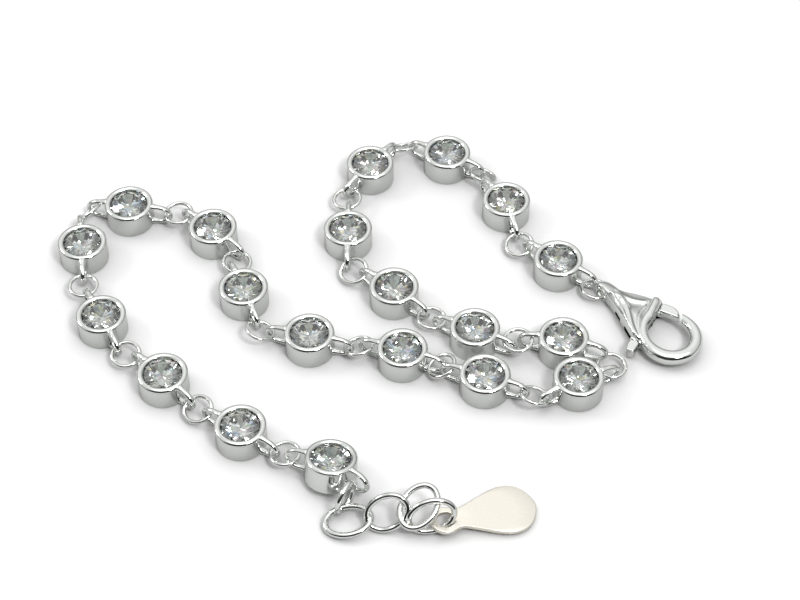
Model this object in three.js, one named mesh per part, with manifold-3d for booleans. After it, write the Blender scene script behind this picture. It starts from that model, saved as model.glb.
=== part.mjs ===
// Station link bracelet, lying coiled on a flat surface.
// Millimetres, +Z up. Twenty bezel-set round stones joined by jump rings, a lobster clasp at one end
// and a short extender chain with a leaf-shaped tag at the other.
import * as THREE from 'three';
import { mergeVertices } from 'three/addons/utils/BufferGeometryUtils.js';
import Module from 'manifold-3d';

const wasm = await Module();
wasm.setup();

// ---- driving dimensions -------------------------------------------------------------------------

// Open-backed bezel cup: outer wall, rounded rim, lip over the stone, groove and seat under it.
const CUP = {
  radius: 2.1,
  wallTop: 2.0,
  rimTop: 2.2,
  rimRadius: 1.87,
  lipRadius: 1.61,
  lipHeight: 2.1,
  grooveRadius: 1.86,
  grooveHeight: 1.9,
  seatRadius: 1.45,
  seatHeight: 1.58,
  sides: 13,
};

// Round stone held in the cup.
const STONE = {
  girdleRadius: 1.7,
  girdleHeight: 1.91,
  tableRadius: 1.0,
  tableHeight: 2.22,
  culetHeight: 0.55,
  sides: 8,
};

// D-shaped wire loop soldered to the cup wall in its upright plane: centre line of one half, from the wall out.
const EAR = {
  wireRadius: 0.2,
  rootRadius: 1.95,
  rootLow: 0.24,
  rootHigh: 1.84,
  kneeRadius: 2.83,
  kneeLow: 0.28,
  kneeHigh: 1.87,
  bowRadius: 3.47,
  bowLow: 0.72,
  bowHigh: 1.43,
  sides: 5,
};

// Jump ring soldered to the leading ear of each cup.
const RING = { radius: 1.17, wireRadius: 0.15, steps: 11, sides: 5 };

// One row per station, from the extender end to the clasp end.
// x, y: cup centre. heading: way the leading ear points, degrees from +X. lean: tilt about the ears.
// rearBend: turn of the rear ear from straight back. ringReach, ringHeight: where the jump ring passes
// through the leading ear. ringSwing, ringDip, ringBank: turn of the ring from the ear, up, and about itself.
const COLUMNS = [
  'x', 'y', 'heading', 'lean', 'rearBend', 'ringReach', 'ringHeight', 'ringSwing', 'ringDip', 'ringBank',
];
const STATIONS = [
  [-5.5, -18.6, 164, 12, -22, 2.94, 0.7, -29, -6, 0],
  [-12.7, -14.8, 146, 0, 0, 3.19, 0.94, -1, -2, -17],
  [-19.3, -9.5, 136, 0, 0, 3.18, 0.97, 16, 1, -8],
  [-24.9, -3.3, 118, 0, 0, 3.2, 1.15, -5, 0, 0],
  [-27.3, 4.8, 96, 0, 0, 3.17, 0.98, -24, -2, 10],
  [-23.7, 9.3, -8, 0, 0, 3.2, 1.08, 13, 4, 2],
  [-16.2, 6.6, -42, 0, 0, 2.94, 1.01, -47, -3, -6],
  [-13.2, -0.3, -68, 0, 0, 3.21, 1.09, -3, 6, -9],
  [-7.5, -5.3, -14, 0, 0, 3.07, 0.75, 25, 9, -16],
  [0.2, -6.9, -19, 0, 0, 2.33, 0.49, 3, 25, 4],
  [6.9, -9.6, -20, 0, 0, 3.16, 1.28, -6, -5, -7],
  [14.5, -9.9, 30, 0, 0, 2.74, 0.76, 48, 3, 5],
  [13.5, -5.7, 172, 0, -9, 2.68, 1.61, 27, -3, 0],
  [6.2, -4.7, 155, 0, 0, 3.0, 0.69, -19, 1, 5],
  [-0.5, -0.2, 140, 0, 0, 3.2, 1.08, 10, -6, -19],
  [-4.5, 6.4, 90, 0, 0, 3.22, 1.07, 8, 0, -6],
  [-2.65, 14.3, 53, 0, 0, 3.17, 1.12, -37, -3, -16],
  [4.2, 15.6, -28, 0, 0, 3.21, 1.05, -6, -8, -20],
  [9.3, 9.8, -76, 0, 0, 3.18, 0.91, -1, -5, 11],
  [13.5, 2.9, -31, 0, -11, 2.65, 0.54, -13, 0, -10],
].map((row) => Object.fromEntries(COLUMNS.map((name, column) => [name, row[column]])));

// Oval chain links of the extender: overall length, width and wire, centre and turn about X, Y, Z.
const LINKS = [
  { length: 3.0, width: 3.0, wire: 0.42, at: [-3.58, -20.99, 1.23], turn: [-51, 6, -117] },
  { length: 4.1, width: 3.1, wire: 0.44, at: [-4.07, -23.0, 0.66], turn: [1, -7, 13] },
  { length: 4.1, width: 3.1, wire: 0.44, at: [-1.14, -22.5, 1.51], turn: [55.8, -26.2, 7.6] },
  { length: 4.1, width: 3.1, wire: 0.44, at: [1.44, -22.49, 1.88], turn: [-190.7, 21.2, -126.3] },
  { length: 4.1, width: 3.1, wire: 0.44, at: [2.43, -23.09, 1.47], turn: [64.2, -11.5, 11.7] },
];
const LINK_STEPS = 14;
const LINK_SIDES = 5;

// Leaf-shaped end tag: flat plate with a pierced round head, widths in rows along it from the hole's centre.
// headEnd: degrees by which the head's circle stops short of the first row.
const TAG = {
  thickness: 0.35,
  headRadius: 1.21,
  holeRadius: 0.69,
  at: [3.52, -23.06, 0.79],
  turn: [0, 4.8, 15],
  headSteps: 7,
  headEnd: 8,
  holeSteps: 10,
};
const TAG_ROWS = [
  { along: 1.3, half: 0.92 },
  { along: 2.2, half: 1.25 },
  { along: 3.9, half: 1.95 },
  { along: 4.9, half: 2.2 },
  { along: 5.9, half: 2.1 },
  { along: 6.7, half: 1.55 },
  { along: 7.2, half: 0.65 },
];

// Lobster clasp. Its own axes: along the clasp from the tail, across to its left, and up.
// pinBed: how far the pin runs into the metal above and below the slot. cutPast: how far a cutter overruns.
const CLASP = {
  at: [17.52, 0.2, 0],
  heading: -56,
  bodyTop: 1.7,
  bodyEdge: 0.3,
  hookLow: 0.5,
  hookHigh: 1.55,
  hookEdge: 0.22,
  hookCentre: [7.2, 1.15],
  hookRadius: 2.6,
  holeCentre: [6.8, 1.22],
  holeRadius: 1.82,
  hookSides: 20,
  holeSides: 16,
  slotLow: 0.44,
  slotHigh: 1.26,
  pivot: [4.2, 0.3],
  pinRadius: 0.3,
  pinBed: 0.1,
  pinSides: 8,
  cutPast: 1,
};
// Body of the clasp, from its tail to the hook: reach to either side of its axis.
const BODY_ROWS = [
  { along: 0.35, right: -0.55, left: 0.4 },
  { along: 1.2, right: -0.6, left: 0.95 },
  { along: 2.4, right: -0.75, left: 2.25 },
  { along: 3.2, right: -0.9, left: 2.75 },
  { along: 4.0, right: -1.1, left: 2.85 },
  { along: 5.2, right: -1.42, left: 1.6 },
  { along: 6.4, right: -1.45, left: 0.4 },
];
// Gap between the body's shoulder and the hook's tip, closed by the lever's gate.
const MOUTH = [
  { along: 4.05, across: 3.4 },
  { along: 4.05, across: 2.8 },
  { along: 4.5, across: 1.9 },
  { along: 6.4, across: 2.2 },
  { along: 6.3, across: 2.95 },
  { along: 5.75, across: 3.6 },
  { along: 5.6, across: 4.2 },
];
// Slot in the body that the lever swings in.
const SLOT = [
  { along: 3.3, across: 0.6 },
  { along: 3.85, across: 3.2 },
  { along: 6.2, across: 2.9 },
  { along: 5.5, across: 0.3 },
  { along: 6.35, across: -2.1 },
  { along: 4.0, across: -2.4 },
  { along: 3.3, across: -0.4 },
];
// Upright eye at the tail: outer and inner reach of the strap, seen from the side.
const EYE = { tip: -0.85, root: 0.7, top: 1.7, wall: 0.3, holeEnd: 0.42, half: 0.42, across: -0.12, corner: 0.45 };

// Lever: pivot boss, arm to the gate, arm to the thumb tab, gate and tab outlines.
const LEVER = {
  low: 0.5,
  high: 1.2,
  bossRadius: 0.62,
  bossSides: 10,
  boreRadius: 0.37,
  boreSides: 8,
  armHalf: 0.36,
  gateEnd: [4.5, 2.45],
  tabEnd: [5.75, -1.85],
  gateLow: 0.45,
  gateHigh: 1.5,
  tabLow: 0.4,
  tabHigh: 1.4,
};
const GATE = [
  { along: 4.16, across: 2.8 },
  { along: 4.6, across: 2.2 },
  { along: 5.17, across: 2.5 },
  { along: 6.0, across: 2.9 },
  { along: 5.55, across: 3.31 },
  { along: 4.95, across: 3.42 },
  { along: 4.4, across: 3.1 },
];
const THUMB = [
  { along: 5.35, across: -1.62 },
  { along: 5.6, across: -2.3 },
  { along: 6.6, across: -2.75 },
  { along: 6.6, across: -1.95 },
  { along: 6.2, across: -1.62 },
];

// ---- shapes -------------------------------------------------------------------------------------

// Corners nearer than this are one corner when a solid is made.
const WELD = 1e-5;

const rad = (degrees) => (degrees * Math.PI) / 180;

/** Indexed geometry from flat position and triangle lists. */
function indexed(positions, triangles) {
  const geometry = new THREE.BufferGeometry();
  geometry.setAttribute('position', new THREE.Float32BufferAttribute(positions, 3));
  geometry.setIndex(triangles);
  return geometry;
}

/** Solid turned about Z from a profile of [radius, height]; a radius of 0 is a pole, otherwise the profile closes on itself. */
function turned(profile, sides) {
  const positions = [];
  const triangles = [];
  const starts = profile.map(([radius, height]) => {
    const start = positions.length / 3;
    const count = radius === 0 ? 1 : sides;
    for (let side = 0; side < count; side += 1) {
      const angle = (2 * Math.PI * (side + 0.5)) / sides;
      positions.push(radius * Math.cos(angle), radius * Math.sin(angle), height);
    }
    return start;
  });
  const closed = profile.every(([radius]) => radius > 0);
  const bands = closed ? profile.length : profile.length - 1;
  const vertex = (row, side) => starts[row] + (profile[row][0] === 0 ? 0 : side % sides);
  for (let row = 0; row < bands; row += 1) {
    const next = (row + 1) % profile.length;
    for (let side = 0; side < sides; side += 1) {
      const corners = [vertex(row, side), vertex(row, side + 1), vertex(next, side + 1), vertex(next, side)];
      if (corners[0] !== corners[1]) triangles.push(corners[0], corners[1], corners[2]);
      if (corners[2] !== corners[3]) triangles.push(corners[0], corners[2], corners[3]);
    }
  }
  return indexed(positions, triangles);
}

/** Round wire with mitred corners along a path that lies in the plane with the given normal. */
function wire(path, normal, radius, sides, closed) {
  const positions = [];
  const triangles = [];
  const count = path.length;
  path.forEach((point, place) => {
    const before = path[closed ? (place + count - 1) % count : Math.max(place - 1, 0)];
    const after = path[closed ? (place + 1) % count : Math.min(place + 1, count - 1)];
    const arriving = point.clone().sub(before).normalize();
    const leaving = after.clone().sub(point).normalize();
    if (arriving.lengthSq() === 0) arriving.copy(leaving);
    if (leaving.lengthSq() === 0) leaving.copy(arriving);
    const along = arriving.clone().add(leaving).normalize();
    const outward = normal.clone().cross(along).multiplyScalar(1 / along.dot(arriving));
    for (let side = 0; side < sides; side += 1) {
      const angle = (2 * Math.PI * side) / sides;
      const corner = point
        .clone()
        .addScaledVector(outward, radius * Math.cos(angle))
        .addScaledVector(normal, radius * Math.sin(angle));
      positions.push(corner.x, corner.y, corner.z);
    }
  });
  const spans = closed ? count : count - 1;
  for (let place = 0; place < spans; place += 1) {
    for (let side = 0; side < sides; side += 1) {
      const here = place * sides;
      const there = ((place + 1) % count) * sides;
      const next = (side + 1) % sides;
      triangles.push(here + side, here + next, there + next, here + side, there + next, there + side);
    }
  }
  if (!closed) {
    const last = (count - 1) * sides;
    for (let side = 1; side < sides - 1; side += 1) {
      triangles.push(0, side + 1, side, last, last + side, last + side + 1);
    }
  }
  return indexed(positions, triangles);
}

/** Closed oval path about the origin in the XY plane. */
function oval(halfLength, halfWidth, steps) {
  return Array.from({ length: steps }, (_, step) => {
    const angle = (2 * Math.PI * step) / steps;
    return new THREE.Vector3(halfLength * Math.cos(angle), halfWidth * Math.sin(angle), 0);
  });
}

/** Flat plate between two heights from an outline of [x, y] pairs, with optional holes and a bevelled edge. */
function plate(outline, holes, low, high, edge) {
  const shape = new THREE.Shape(outline.map(([x, y]) => new THREE.Vector2(x, y)));
  shape.holes = holes.map((hole) => new THREE.Path(hole.map(([x, y]) => new THREE.Vector2(x, y))));
  const geometry = new THREE.ExtrudeGeometry(shape, {
    depth: high - low - 2 * edge,
    bevelEnabled: edge > 0,
    bevelThickness: edge,
    bevelSize: edge,
    bevelOffset: -edge,
    bevelSegments: 1,
  });
  return geometry.translate(0, 0, low + edge);
}

/** Corners of a circle, optionally only an arc of it between two angles in degrees. */
function circle([x, y], radius, steps, from = 0, to = 360) {
  const count = to - from === 360 ? steps : steps + 1;
  return Array.from({ length: count }, (_, step) => {
    const angle = rad(from + ((to - from) * step) / steps);
    return [x + radius * Math.cos(angle), y + radius * Math.sin(angle)];
  });
}

/** Corners [along, across] of an outline table. */
const corners = (rows) => rows.map(({ along, across }) => [along, across]);

/** Outline of a straight bar of the given half width between two points. */
function bar([x0, y0], [x1, y1], half) {
  const length = Math.hypot(x1 - x0, y1 - y0);
  const sideX = (-(y1 - y0) / length) * half;
  const sideY = ((x1 - x0) / length) * half;
  return [[x0 - sideX, y0 - sideY], [x1 - sideX, y1 - sideY], [x1 + sideX, y1 + sideY], [x0 + sideX, y0 + sideY]];
}

// ---- joining and placing ------------------------------------------------------------------------

/** Solid for adding and cutting, from a geometry. */
function solid(geometry) {
  const source = geometry.clone();
  source.deleteAttribute('normal');
  source.deleteAttribute('uv');
  const merged = mergeVertices(source, WELD);
  return new wasm.Manifold(
    new wasm.Mesh({
      numProp: 3,
      vertProperties: new Float32Array(merged.attributes.position.array),
      triVerts: new Uint32Array(merged.index.array),
    }),
  );
}

/** Geometry from a solid. */
function geometryOf(body) {
  const mesh = body.getMesh();
  return indexed(Array.from(mesh.vertProperties), Array.from(mesh.triVerts));
}

/** One geometry from several that touch. */
const joined = (geometries) => geometryOf(wasm.Manifold.union(geometries.map(solid)));

/** Turn about X, then Y, then Z in degrees, then move. */
function placed(at, turn) {
  const spin = new THREE.Euler(rad(turn[0]), rad(turn[1]), rad(turn[2]), 'ZYX');
  return new THREE.Matrix4().makeRotationFromEuler(spin).setPosition(...at);
}

/** Where a station's cup stands: leaned about its ears, resting on the surface, turned to its heading. */
function stationPlace({ x, y, heading, lean }) {
  return placed([x, y, CUP.radius * Math.abs(Math.sin(rad(lean)))], [lean, 0, heading]);
}

// ---- pieces -------------------------------------------------------------------------------------

const cup = turned(
  [
    [CUP.radius, 0],
    [CUP.radius, CUP.wallTop],
    [CUP.rimRadius, CUP.rimTop],
    [CUP.lipRadius, CUP.lipHeight],
    [CUP.grooveRadius, CUP.grooveHeight],
    [CUP.seatRadius, CUP.seatHeight],
    [CUP.seatRadius, 0],
  ],
  CUP.sides,
);

const stone = turned(
  [
    [0, STONE.culetHeight],
    [STONE.girdleRadius, STONE.girdleHeight],
    [STONE.tableRadius, STONE.tableHeight],
    [0, STONE.tableHeight],
  ],
  STONE.sides,
);

const ear = wire(
  [
    [EAR.rootRadius, EAR.rootLow],
    [EAR.kneeRadius, EAR.kneeLow],
    [EAR.bowRadius, EAR.bowLow],
    [EAR.bowRadius, EAR.bowHigh],
    [EAR.kneeRadius, EAR.kneeHigh],
    [EAR.rootRadius, EAR.rootHigh],
  ].map(([radius, height]) => new THREE.Vector3(radius, 0, height)),
  new THREE.Vector3(0, 1, 0),
  EAR.wireRadius,
  EAR.sides,
  false,
);

/** Jump ring that leaves a station through its leading ear. */
function jumpRing(station) {
  const { heading, ringReach, ringHeight, ringSwing, ringDip, ringBank } = station;
  const start = new THREE.Vector3(ringReach, 0, ringHeight).applyMatrix4(stationPlace(station));
  const way = rad(heading + ringSwing);
  const dip = rad(ringDip);
  const bank = rad(ringBank);
  const along = new THREE.Vector3(Math.cos(way) * Math.cos(dip), Math.sin(way) * Math.cos(dip), Math.sin(dip));
  const level = new THREE.Vector3(0, 0, 1).cross(along).normalize();
  const upward = along.clone().cross(level);
  const side = level.multiplyScalar(Math.cos(bank)).addScaledVector(upward, Math.sin(bank));
  const centre = start.addScaledVector(along, RING.radius);
  const path = oval(RING.radius, RING.radius, RING.steps).map((point) =>
    centre.clone().addScaledVector(along, point.x).addScaledVector(side, point.y),
  );
  return wire(path, along.clone().cross(side), RING.wireRadius, RING.sides, true);
}

/** Cup with its two soldered ears and its jump ring. */
function bezelLink(station) {
  const place = stationPlace(station);
  const rear = ear.clone().rotateZ(rad(180 + station.rearBend));
  const cupAndEars = [cup, ear, rear].map((piece) => piece.clone().applyMatrix4(place));
  return joined([...cupAndEars, jumpRing(station)]);
}

/** Oval link of the extender chain. */
function chainLink({ length, width, wire: diameter, at, turn }) {
  const path = oval((length - diameter) / 2, (width - diameter) / 2, LINK_STEPS);
  const link = wire(path, new THREE.Vector3(0, 0, 1), diameter / 2, LINK_SIDES, true);
  return link.applyMatrix4(placed(at, turn));
}

/** Leaf-shaped tag, pierced at its head. */
function endTag() {
  const neck = (Math.asin(TAG_ROWS[0].half / TAG.headRadius) * 180) / Math.PI;
  const gap = neck + TAG.headEnd;
  const head = circle([0, 0], TAG.headRadius, TAG.headSteps, gap, 360 - gap);
  const lower = TAG_ROWS.map(({ along, half }) => [along, -half]);
  const upper = TAG_ROWS.map(({ along, half }) => [along, half]).reverse();
  const hole = circle([0, 0], TAG.holeRadius, TAG.holeSteps);
  const half = TAG.thickness / 2;
  return plate([...head, ...lower, ...upper], [hole], -half, half, 0).applyMatrix4(placed(TAG.at, TAG.turn));
}

const claspPlace = placed(CLASP.at, [0, 0, CLASP.heading]);

/** Clasp body: tapered body and round hook in one, cut for the mouth and the lever's slot, with pin and tail eye. */
function claspBody() {
  const rightSide = BODY_ROWS.map(({ along, right }) => [along, right]);
  const leftSide = BODY_ROWS.map(({ along, left }) => [along, left]).reverse();
  const body = solid(plate([...rightSide, ...leftSide], [], 0, CLASP.bodyTop, CLASP.bodyEdge));
  const hookOutline = circle(CLASP.hookCentre, CLASP.hookRadius, CLASP.hookSides);
  const hook = solid(plate(hookOutline, [], CLASP.hookLow, CLASP.hookHigh, CLASP.hookEdge));
  const through = [-CLASP.cutPast, CLASP.bodyTop + CLASP.cutPast];
  const hole = solid(plate(circle(CLASP.holeCentre, CLASP.holeRadius, CLASP.holeSides), [], ...through, 0));
  const mouth = solid(plate(corners(MOUTH), [], ...through, 0));
  const slot = solid(plate(corners(SLOT), [], CLASP.slotLow, CLASP.slotHigh, 0));
  const pinOutline = circle(CLASP.pivot, CLASP.pinRadius, CLASP.pinSides);
  const pin = solid(plate(pinOutline, [], CLASP.slotLow - CLASP.pinBed, CLASP.slotHigh + CLASP.pinBed, 0));
  const outer = [
    [EYE.root, 0],
    [EYE.root, EYE.top],
    [EYE.tip + EYE.corner, EYE.top],
    [EYE.tip, EYE.top - EYE.corner],
    [EYE.tip, EYE.corner],
    [EYE.tip + EYE.corner, 0],
  ];
  const inner = [
    [EYE.holeEnd, EYE.wall],
    [EYE.holeEnd, EYE.top - EYE.wall],
    [EYE.tip + EYE.corner, EYE.top - EYE.wall],
    [EYE.tip + EYE.wall, EYE.top - EYE.corner],
    [EYE.tip + EYE.wall, EYE.corner],
    [EYE.tip + EYE.corner, EYE.wall],
  ];
  const strap = plate(outer, [inner], -EYE.half, EYE.half, 0).rotateX(Math.PI / 2).translate(0, EYE.across, 0);
  const cutBody = body.add(hook).subtract(hole).subtract(mouth).subtract(slot).add(pin).add(solid(strap));
  return geometryOf(cutBody).applyMatrix4(claspPlace);
}

/** Clasp lever: boss on the pin, arms to the gate and the thumb tab. */
function claspLever() {
  const bore = circle(CLASP.pivot, LEVER.boreRadius, LEVER.boreSides);
  const bossOutline = circle(CLASP.pivot, LEVER.bossRadius, LEVER.bossSides);
  const boss = solid(plate(bossOutline, [], LEVER.low, LEVER.high, 0));
  const arms = [LEVER.gateEnd, LEVER.tabEnd].map((end) =>
    solid(plate(bar(CLASP.pivot, end, LEVER.armHalf), [], LEVER.low, LEVER.high, 0)),
  );
  const gate = solid(plate(corners(GATE), [], LEVER.gateLow, LEVER.gateHigh, 0));
  const thumb = solid(plate(corners(THUMB).reverse(), [], LEVER.tabLow, LEVER.tabHigh, 0));
  const drill = solid(plate(bore, [], 0, CLASP.bodyTop, 0));
  return geometryOf(wasm.Manifold.union([boss, ...arms, gate, thumb]).subtract(drill)).applyMatrix4(claspPlace);
}

// ---- the bracelet -------------------------------------------------------------------------------

const bracelet = new THREE.Group();
bracelet.name = 'link_bracelet';

const SILVER = { color: 0xd8d8d6, metalness: 1, roughness: 0.12 };
const CRYSTAL = { color: 0xeef2f2, metalness: 0, roughness: 0.02 };

function add(name, geometry, finish) {
  const mesh = new THREE.Mesh(geometry, new THREE.MeshStandardMaterial(finish));
  mesh.name = name;
  bracelet.add(mesh);
}

const numbered = (stem, index) => `${stem}_${String(index + 1).padStart(2, '0')}`;

STATIONS.forEach((station, index) => {
  add(numbered('bezel_link', index), bezelLink(station), SILVER);
  add(numbered('stone', index), stone.clone().applyMatrix4(stationPlace(station)), CRYSTAL);
});
LINKS.forEach((link, index) => add(numbered('extender_link', index), chainLink(link), SILVER));
add('end_tag', endTag(), SILVER);
add('clasp_body', claspBody(), SILVER);
add('clasp_lever', claspLever(), SILVER);

// The bracelet's bounding box is centred over the origin.
const reach = new THREE.Box3();
for (const mesh of bracelet.children) {
  mesh.geometry.computeBoundingBox();
  reach.union(mesh.geometry.boundingBox);
}
const centre = reach.getCenter(new THREE.Vector3());
for (const mesh of bracelet.children) mesh.geometry.translate(-centre.x, -centre.y, 0);

export default bracelet;
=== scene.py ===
import bpy
import numpy as np
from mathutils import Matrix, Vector


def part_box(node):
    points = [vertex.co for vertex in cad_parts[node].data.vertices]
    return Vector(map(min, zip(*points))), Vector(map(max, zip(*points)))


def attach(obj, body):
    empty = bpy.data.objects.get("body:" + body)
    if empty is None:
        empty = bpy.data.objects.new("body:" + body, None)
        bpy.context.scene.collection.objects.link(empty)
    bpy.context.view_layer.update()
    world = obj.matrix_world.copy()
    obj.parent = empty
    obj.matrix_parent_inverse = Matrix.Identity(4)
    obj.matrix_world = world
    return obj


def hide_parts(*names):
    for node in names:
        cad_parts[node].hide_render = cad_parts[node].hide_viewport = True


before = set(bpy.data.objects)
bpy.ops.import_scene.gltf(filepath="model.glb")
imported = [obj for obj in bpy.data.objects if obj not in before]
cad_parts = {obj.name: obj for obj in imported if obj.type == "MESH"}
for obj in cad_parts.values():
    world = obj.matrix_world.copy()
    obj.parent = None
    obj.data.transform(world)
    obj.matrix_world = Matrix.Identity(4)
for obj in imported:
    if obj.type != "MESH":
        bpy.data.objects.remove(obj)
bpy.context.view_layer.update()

# ---- The table it lies on, the light and the camera ----------------------------------------------
# A white sheet under the coiled bracelet in a white light tent. The camera looks down on it from the
# front, far enough away that the near and the far stations come out almost the same size.

MM = 0.001

# Where the coil's own zero lies in the frame: the second stone stands at x -12.7, y -14.8 in the coil.
stone_low, stone_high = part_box("stone_02")
COIL_X = (stone_low.x + stone_high.x) / 2 + 12.7 * MM
COIL_Y = (stone_low.y + stone_high.y) / 2 + 14.8 * MM


def linear(hex_colour):
    """sRGB hex to linear red, green, blue and 1: below 0.04045 it divides by 12.92, above it takes the power
    2.4 curve."""
    values = np.array([int(hex_colour[i:i + 2], 16) for i in (1, 3, 5)]) / 255
    curve = np.where(values <= 0.04045, values / 12.92, ((values + 0.055) / 1.055) ** 2.4)
    return (*curve.tolist(), 1.0)


def node(tree, kind, links=None, **settings):
    """Adds one shader node: settings name its sockets or its own properties, and links name the sockets that
    other nodes feed."""
    made = tree.nodes.new(kind)
    for name, value in settings.items():
        label = name.replace("_", " ")
        if label in made.inputs:
            made.inputs[label].default_value = value
        else:
            setattr(made, name, value)
    for label, source in (links or {}).items():
        tree.links.new(source, made.inputs[label])
    return made


def material(name):
    """Empty node material and its tree."""
    made = bpy.data.materials.new(name)
    made.use_nodes = True
    made.node_tree.nodes.clear()
    return made, made.node_tree


# The camera's place from the coil's zero, in millimetres, and how far it looks down, in degrees.
CAMERA_BACK = 108.7
CAMERA_UP = 127.93
CAMERA_DOWN = 49.65
camera_data = bpy.data.cameras.new("camera")
camera_data.lens = 88.8
camera_data.sensor_width = 36
camera_data.clip_start = 0.01
camera = bpy.data.objects.new("camera", camera_data)
bpy.context.scene.collection.objects.link(camera)
camera.location = (COIL_X, COIL_Y - CAMERA_BACK * MM, CAMERA_UP * MM)
camera.rotation_euler = (np.radians(90 - CAMERA_DOWN), 0, 0)
bpy.context.scene.camera = camera

# Matt white paper with its light and shade painted into its colour: painted bright where the camera looks at
# it so that it comes out bleached, painted about seven tenths as bright where the metal mirrors it, and
# greyed by painted shade within 6 mm of the metal.
paper, tree = material("white_paper_painted_shade")
# Painted brightness: the colour is higher for the camera's own rays than for the rays the metal mirrors.
ray = node(tree, "ShaderNodeLightPath")
painted_ray_brightness = node(tree, "ShaderNodeMapRange", {"Value": ray.outputs["Is Camera Ray"]},
             To_Min=0.68, To_Max=0.96)
# Painted shade: the paper's colour darkens where the metal is near, within 6 mm.
near_metal_occlusion = node(tree, "ShaderNodeAmbientOcclusion", Distance=6 * MM)
near_metal_occlusion.samples = 12
painted_contact_shade = node(tree, "ShaderNodeMapRange", {"Value": near_metal_occlusion.outputs["AO"]}, From_Min=0.5, From_Max=0.93,
              To_Min=0.76, To_Max=1.0)
paper_painted_shade = node(tree, "ShaderNodeMath", {0: painted_ray_brightness.outputs[0], 1: painted_contact_shade.outputs[0]}, operation="MULTIPLY")
sheet = node(tree, "ShaderNodeBsdfDiffuse", {"Color": paper_painted_shade.outputs[0]}, Roughness=0.5)
node(tree, "ShaderNodeOutputMaterial", {"Surface": sheet.outputs[0]})
HALF_SHEET = 0.6
floor_corners = [(-HALF_SHEET, -HALF_SHEET, 0), (HALF_SHEET, -HALF_SHEET, 0),
                 (HALF_SHEET, HALF_SHEET, 0), (-HALF_SHEET, HALF_SHEET, 0)]
floor_data = bpy.data.meshes.new("floor")
floor_data.from_pydata(floor_corners, [], [(0, 1, 2, 3)])
floor = bpy.data.objects.new("floor", floor_data)
floor.data.materials.append(paper)
bpy.context.scene.collection.objects.link(floor)

world = bpy.data.worlds.new("light_tent")
bpy.context.scene.world = world
world.use_nodes = True
tree = world.node_tree
tree.nodes.clear()
sight = node(tree, "ShaderNodeTexCoord")
toward = node(tree, "ShaderNodeSeparateXYZ", {"Vector": sight.outputs["Generated"]})


def patch(centre, inner_angle, outer_angle, amount):
    """Soft round patch of the tent: the amount inside the inner angle from its centre, falling smoothly to
    none at the outer angle."""
    along = node(tree, "ShaderNodeVectorMath", {0: sight.outputs["Generated"]}, operation="DOT_PRODUCT")
    along.inputs[1].default_value = Vector(centre).normalized()
    return node(tree, "ShaderNodeMapRange", {"Value": along.outputs["Value"]},
                interpolation_type="SMOOTHSTEP", From_Min=float(np.cos(np.radians(outer_angle))),
                From_Max=float(np.cos(np.radians(inner_angle))), To_Min=0.0, To_Max=amount).outputs[0]


def summed(first, second):
    """First and second added."""
    return node(tree, "ShaderNodeMath", {0: first, 1: second}, operation="ADD").outputs[0]


# The tent's walls are pale and brighten upwards. Its roof has a bright panel and its left back corner a
# fainter one, and its front, where the camera looks in, is dark.
wall = node(tree, "ShaderNodeMapRange", {"Value": toward.outputs["Z"]},
            interpolation_type="SMOOTHSTEP", From_Min=0.05, From_Max=0.8,
            To_Min=0.32, To_Max=0.92).outputs[0]
roof = summed(wall, patch((0.1, -0.12, 1.0), 14, 34, 1.1))
roof = summed(roof, patch((-0.75, 0.55, 0.55), 10, 26, 0.3))
dark_front = node(tree, "ShaderNodeMapRange", {"Value": toward.outputs["Y"]},
                  interpolation_type="SMOOTHSTEP", From_Min=-0.17, From_Max=-0.62,
                  To_Min=1.0, To_Max=0.06).outputs[0]
glow = node(tree, "ShaderNodeMath", {0: roof, 1: dark_front}, operation="MULTIPLY")
# Seen through a stone the tent is softer and greyer, and its folds break it up finely.
through = node(tree, "ShaderNodeLightPath")
soft = node(tree, "ShaderNodeMapRange", {"Value": glow.outputs[0]}, From_Min=0.05, From_Max=1.5,
            To_Min=0.26, To_Max=0.86)
folds = node(tree, "ShaderNodeTexNoise", {"Vector": sight.outputs["Generated"]}, Scale=8.0, Detail=4.0,
             Roughness=0.7)
break_up = node(tree, "ShaderNodeMapRange", {"Value": folds.outputs["Fac"]}, From_Min=0.35, From_Max=0.65,
                To_Min=0.45, To_Max=1.4)
behind_stone = node(tree, "ShaderNodeMath", {0: soft.outputs[0], 1: break_up.outputs[0]},
                    operation="MULTIPLY")
# In the metal its two sides are dimmer than its middle.
sideways = node(tree, "ShaderNodeMath", {0: toward.outputs["X"]}, operation="ABSOLUTE")
dim_sides = node(tree, "ShaderNodeMapRange", {"Value": sideways.outputs[0]},
                 interpolation_type="SMOOTHSTEP", From_Min=0.1, From_Max=0.5, To_Min=1.0, To_Max=0.78)
in_metal = node(tree, "ShaderNodeMath", {0: glow.outputs[0], 1: dim_sides.outputs[0]},
                operation="MULTIPLY")
chosen = node(tree, "ShaderNodeMix", {"Factor": through.outputs["Is Transmission Ray"],
                                      "A": in_metal.outputs[0], "B": behind_stone.outputs[0]})
light = node(tree, "ShaderNodeBackground", {"Color": chosen.outputs[0]}, Strength=1.06)
node(tree, "ShaderNodeOutputWorld", {"Surface": light.outputs[0]})

# Two soft boxes that face the coil: where each stands and its side, in metres, and its power in watts.
LAMPS = (
    ("soft_box_front", (0.16, -0.2, 0.38), 0.1, 0.7),
    ("soft_box_left", (-0.3, 0.1, 0.25), 0.1, 0.25),
)
for name, lamp_at, lamp_side, power in LAMPS:
    lamp_data = bpy.data.lights.new(name, "AREA")
    lamp_data.size = lamp_side
    lamp_data.energy = power
    lamp = bpy.data.objects.new(name, lamp_data)
    lamp.location = lamp_at
    lamp.rotation_euler = (-Vector(lamp_at)).to_track_quat("-Z", "Y").to_euler()
    bpy.context.scene.collection.objects.link(lamp)

bpy.context.scene.view_settings.view_transform = "Standard"

# ---- Bezel cups ----------------------------------------------------------------------------------
# Twenty open-backed cups of sterling silver, turned and polished, with a rolled rim burnished over
# the stone. Each stands at its station along the coiled bracelet.

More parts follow.
